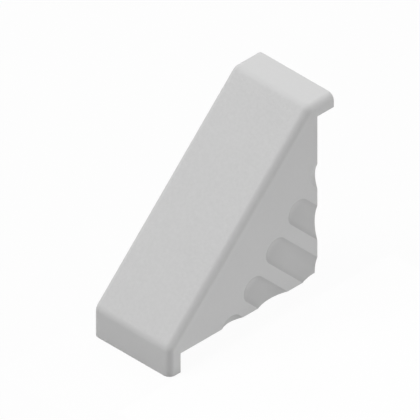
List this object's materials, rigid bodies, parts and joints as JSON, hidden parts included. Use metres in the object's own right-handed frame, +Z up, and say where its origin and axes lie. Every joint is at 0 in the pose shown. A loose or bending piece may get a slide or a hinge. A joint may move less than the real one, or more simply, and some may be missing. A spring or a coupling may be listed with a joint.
{
  "type": "bracket cover cap",
  "caption": "Light grey moulded cap that covers a right-angle framing bracket, with a sloped face, a lip at each end, grooved side walls and an open corner side.",
  "frame": {"origin": "middle of the cap's box in X and Y, at the lower edge of the front lip", "axes": "+X across the cap from side wall to side wall, +Y from the front lip towards the tip of the top lip, +Z up along the front lip"},
  "size_m": [0.028, 0.06, 0.06],
  "materials": {
    "cap": "fine moulded texture, matt"
  },
  "bodies": {
    "root": {"cap": "cap"}
  },
  "joints": []
}
